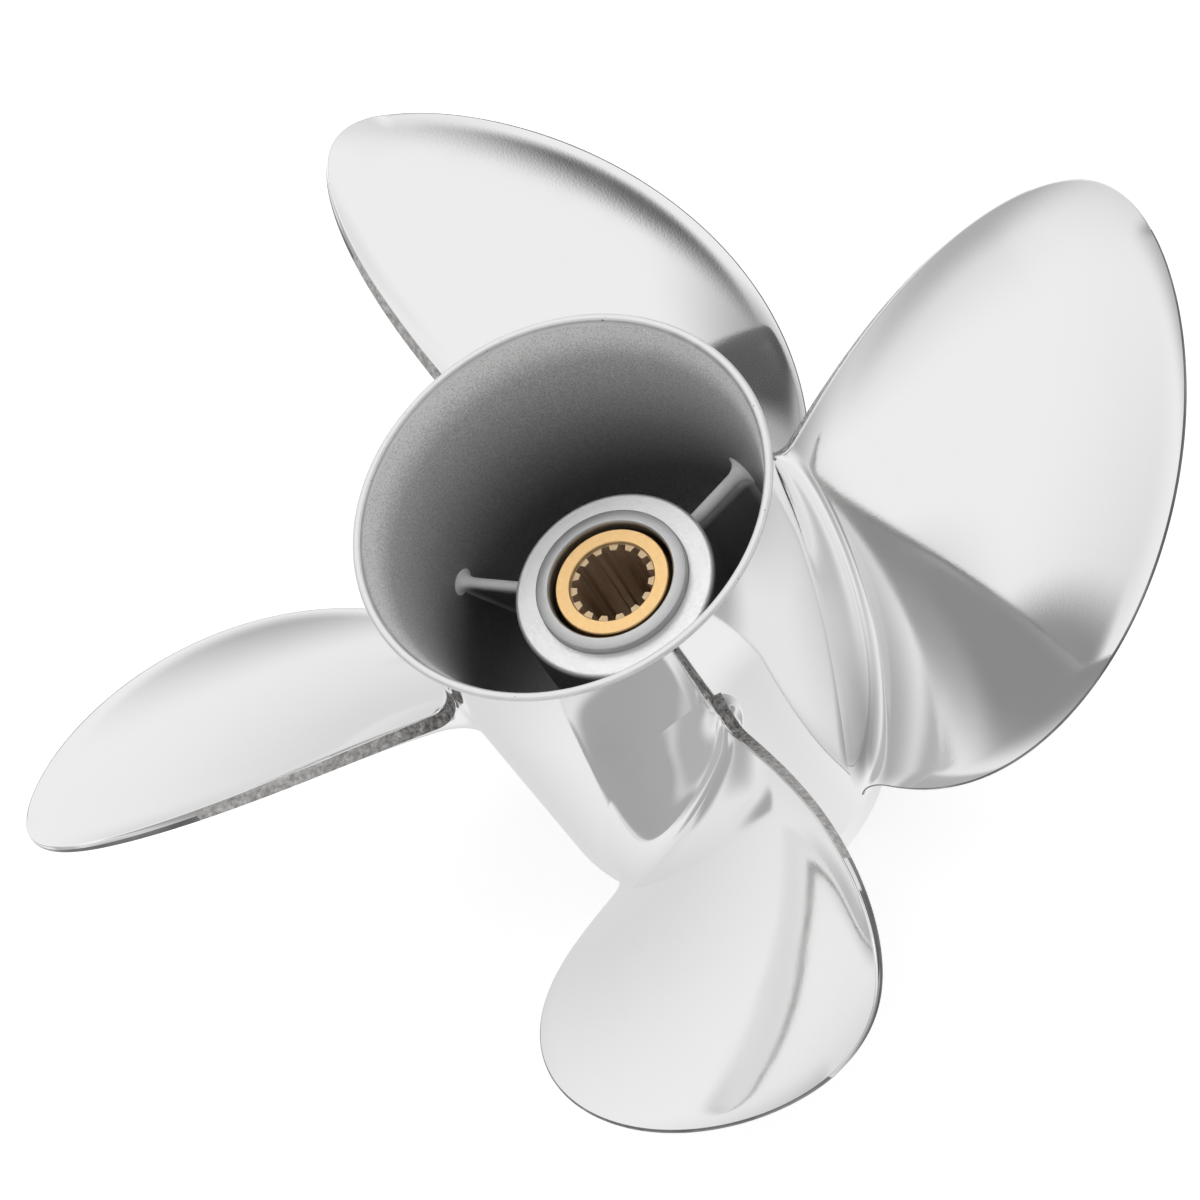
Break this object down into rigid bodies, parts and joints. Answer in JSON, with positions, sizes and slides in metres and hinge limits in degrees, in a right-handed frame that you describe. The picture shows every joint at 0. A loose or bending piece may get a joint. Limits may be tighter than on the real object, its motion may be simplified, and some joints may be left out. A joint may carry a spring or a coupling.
{
  "type": "outboard motor propeller",
  "caption": "Polished stainless steel boat propeller with raked blades on a flared through-hub exhaust barrel, a splined brass sleeve in a rubber bush, and ribs across the exhaust passage.",
  "frame": {"origin": "on the shaft axis, in the plane of the outer hub's forward rim", "axes": "+Z along the shaft axis, pointing aft (astern), towards the flared exhaust lip; +X towards blade_1's generating line"},
  "size_m": [0.353, 0.353, 0.17],
  "materials": {
    "polished_steel": "mirror-polished cast stainless steel",
    "blasted_steel": "sand-blasted, matt grey, fine grain",
    "machined_steel": "turned, satin",
    "brass": "machined brass, satin, with cut spline teeth",
    "rubber": "dark brown-black moulded rubber, matt"
  },
  "bodies": {
    "root": {"outer_hub": "polished_steel", "exhaust_flare": "polished_steel", "inner_hub": "blasted_steel", "hub_collar": "machined_steel", "rubber_bush": "rubber", "spline_sleeve": "brass", "rib_1": "blasted_steel", "rib_2": "blasted_steel", "rib_3": "blasted_steel", "blade_1": "polished_steel", "blade_2": "polished_steel", "blade_3": "polished_steel", "blade_4": "polished_steel"}
  },
  "joints": []
}
